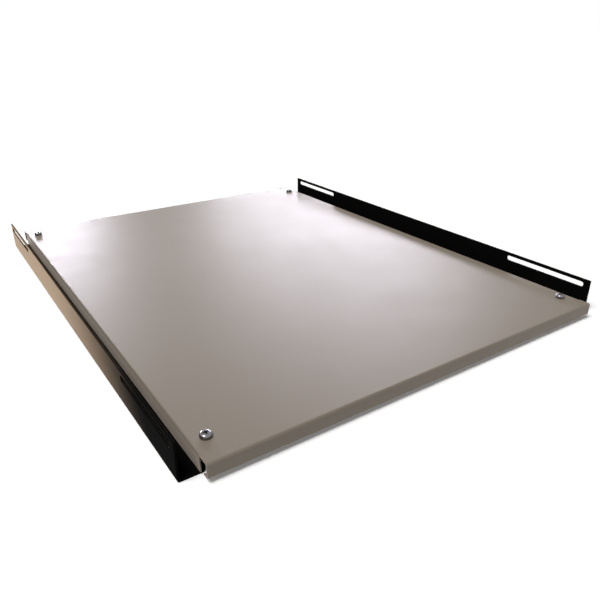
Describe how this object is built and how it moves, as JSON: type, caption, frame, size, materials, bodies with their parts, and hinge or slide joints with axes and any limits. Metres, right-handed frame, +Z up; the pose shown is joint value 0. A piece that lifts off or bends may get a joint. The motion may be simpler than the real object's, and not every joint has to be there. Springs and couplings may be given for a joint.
{
  "type": "rack shelf",
  "caption": "Fixed shelf for an equipment rack: a shallow folded steel tray screwed onto folded side brackets whose upright webs have long slots for bolting to the rails.",
  "frame": {"origin": "middle of the footprint, level with the undersides of the two brackets", "axes": "+X to the right seen from the front, +Y from the front to the rear, +Z up"},
  "size_m": [0.4444, 0.55, 0.032],
  "materials": {
    "tray_paint": "semi-gloss warm grey powder coat",
    "bracket_paint": "gloss black powder coat",
    "zinc_plate": "bright zinc plate"
  },
  "bodies": {
    "root": {"tray": "tray_paint", "left_bracket": "bracket_paint", "right_bracket": "bracket_paint", "front_left_screw": "zinc_plate", "front_right_screw": "zinc_plate", "rear_left_screw": "zinc_plate", "rear_right_screw": "zinc_plate", "front_left_nut": "zinc_plate", "front_right_nut": "zinc_plate", "rear_left_nut": "zinc_plate", "rear_right_nut": "zinc_plate"}
  },
  "joints": []
}
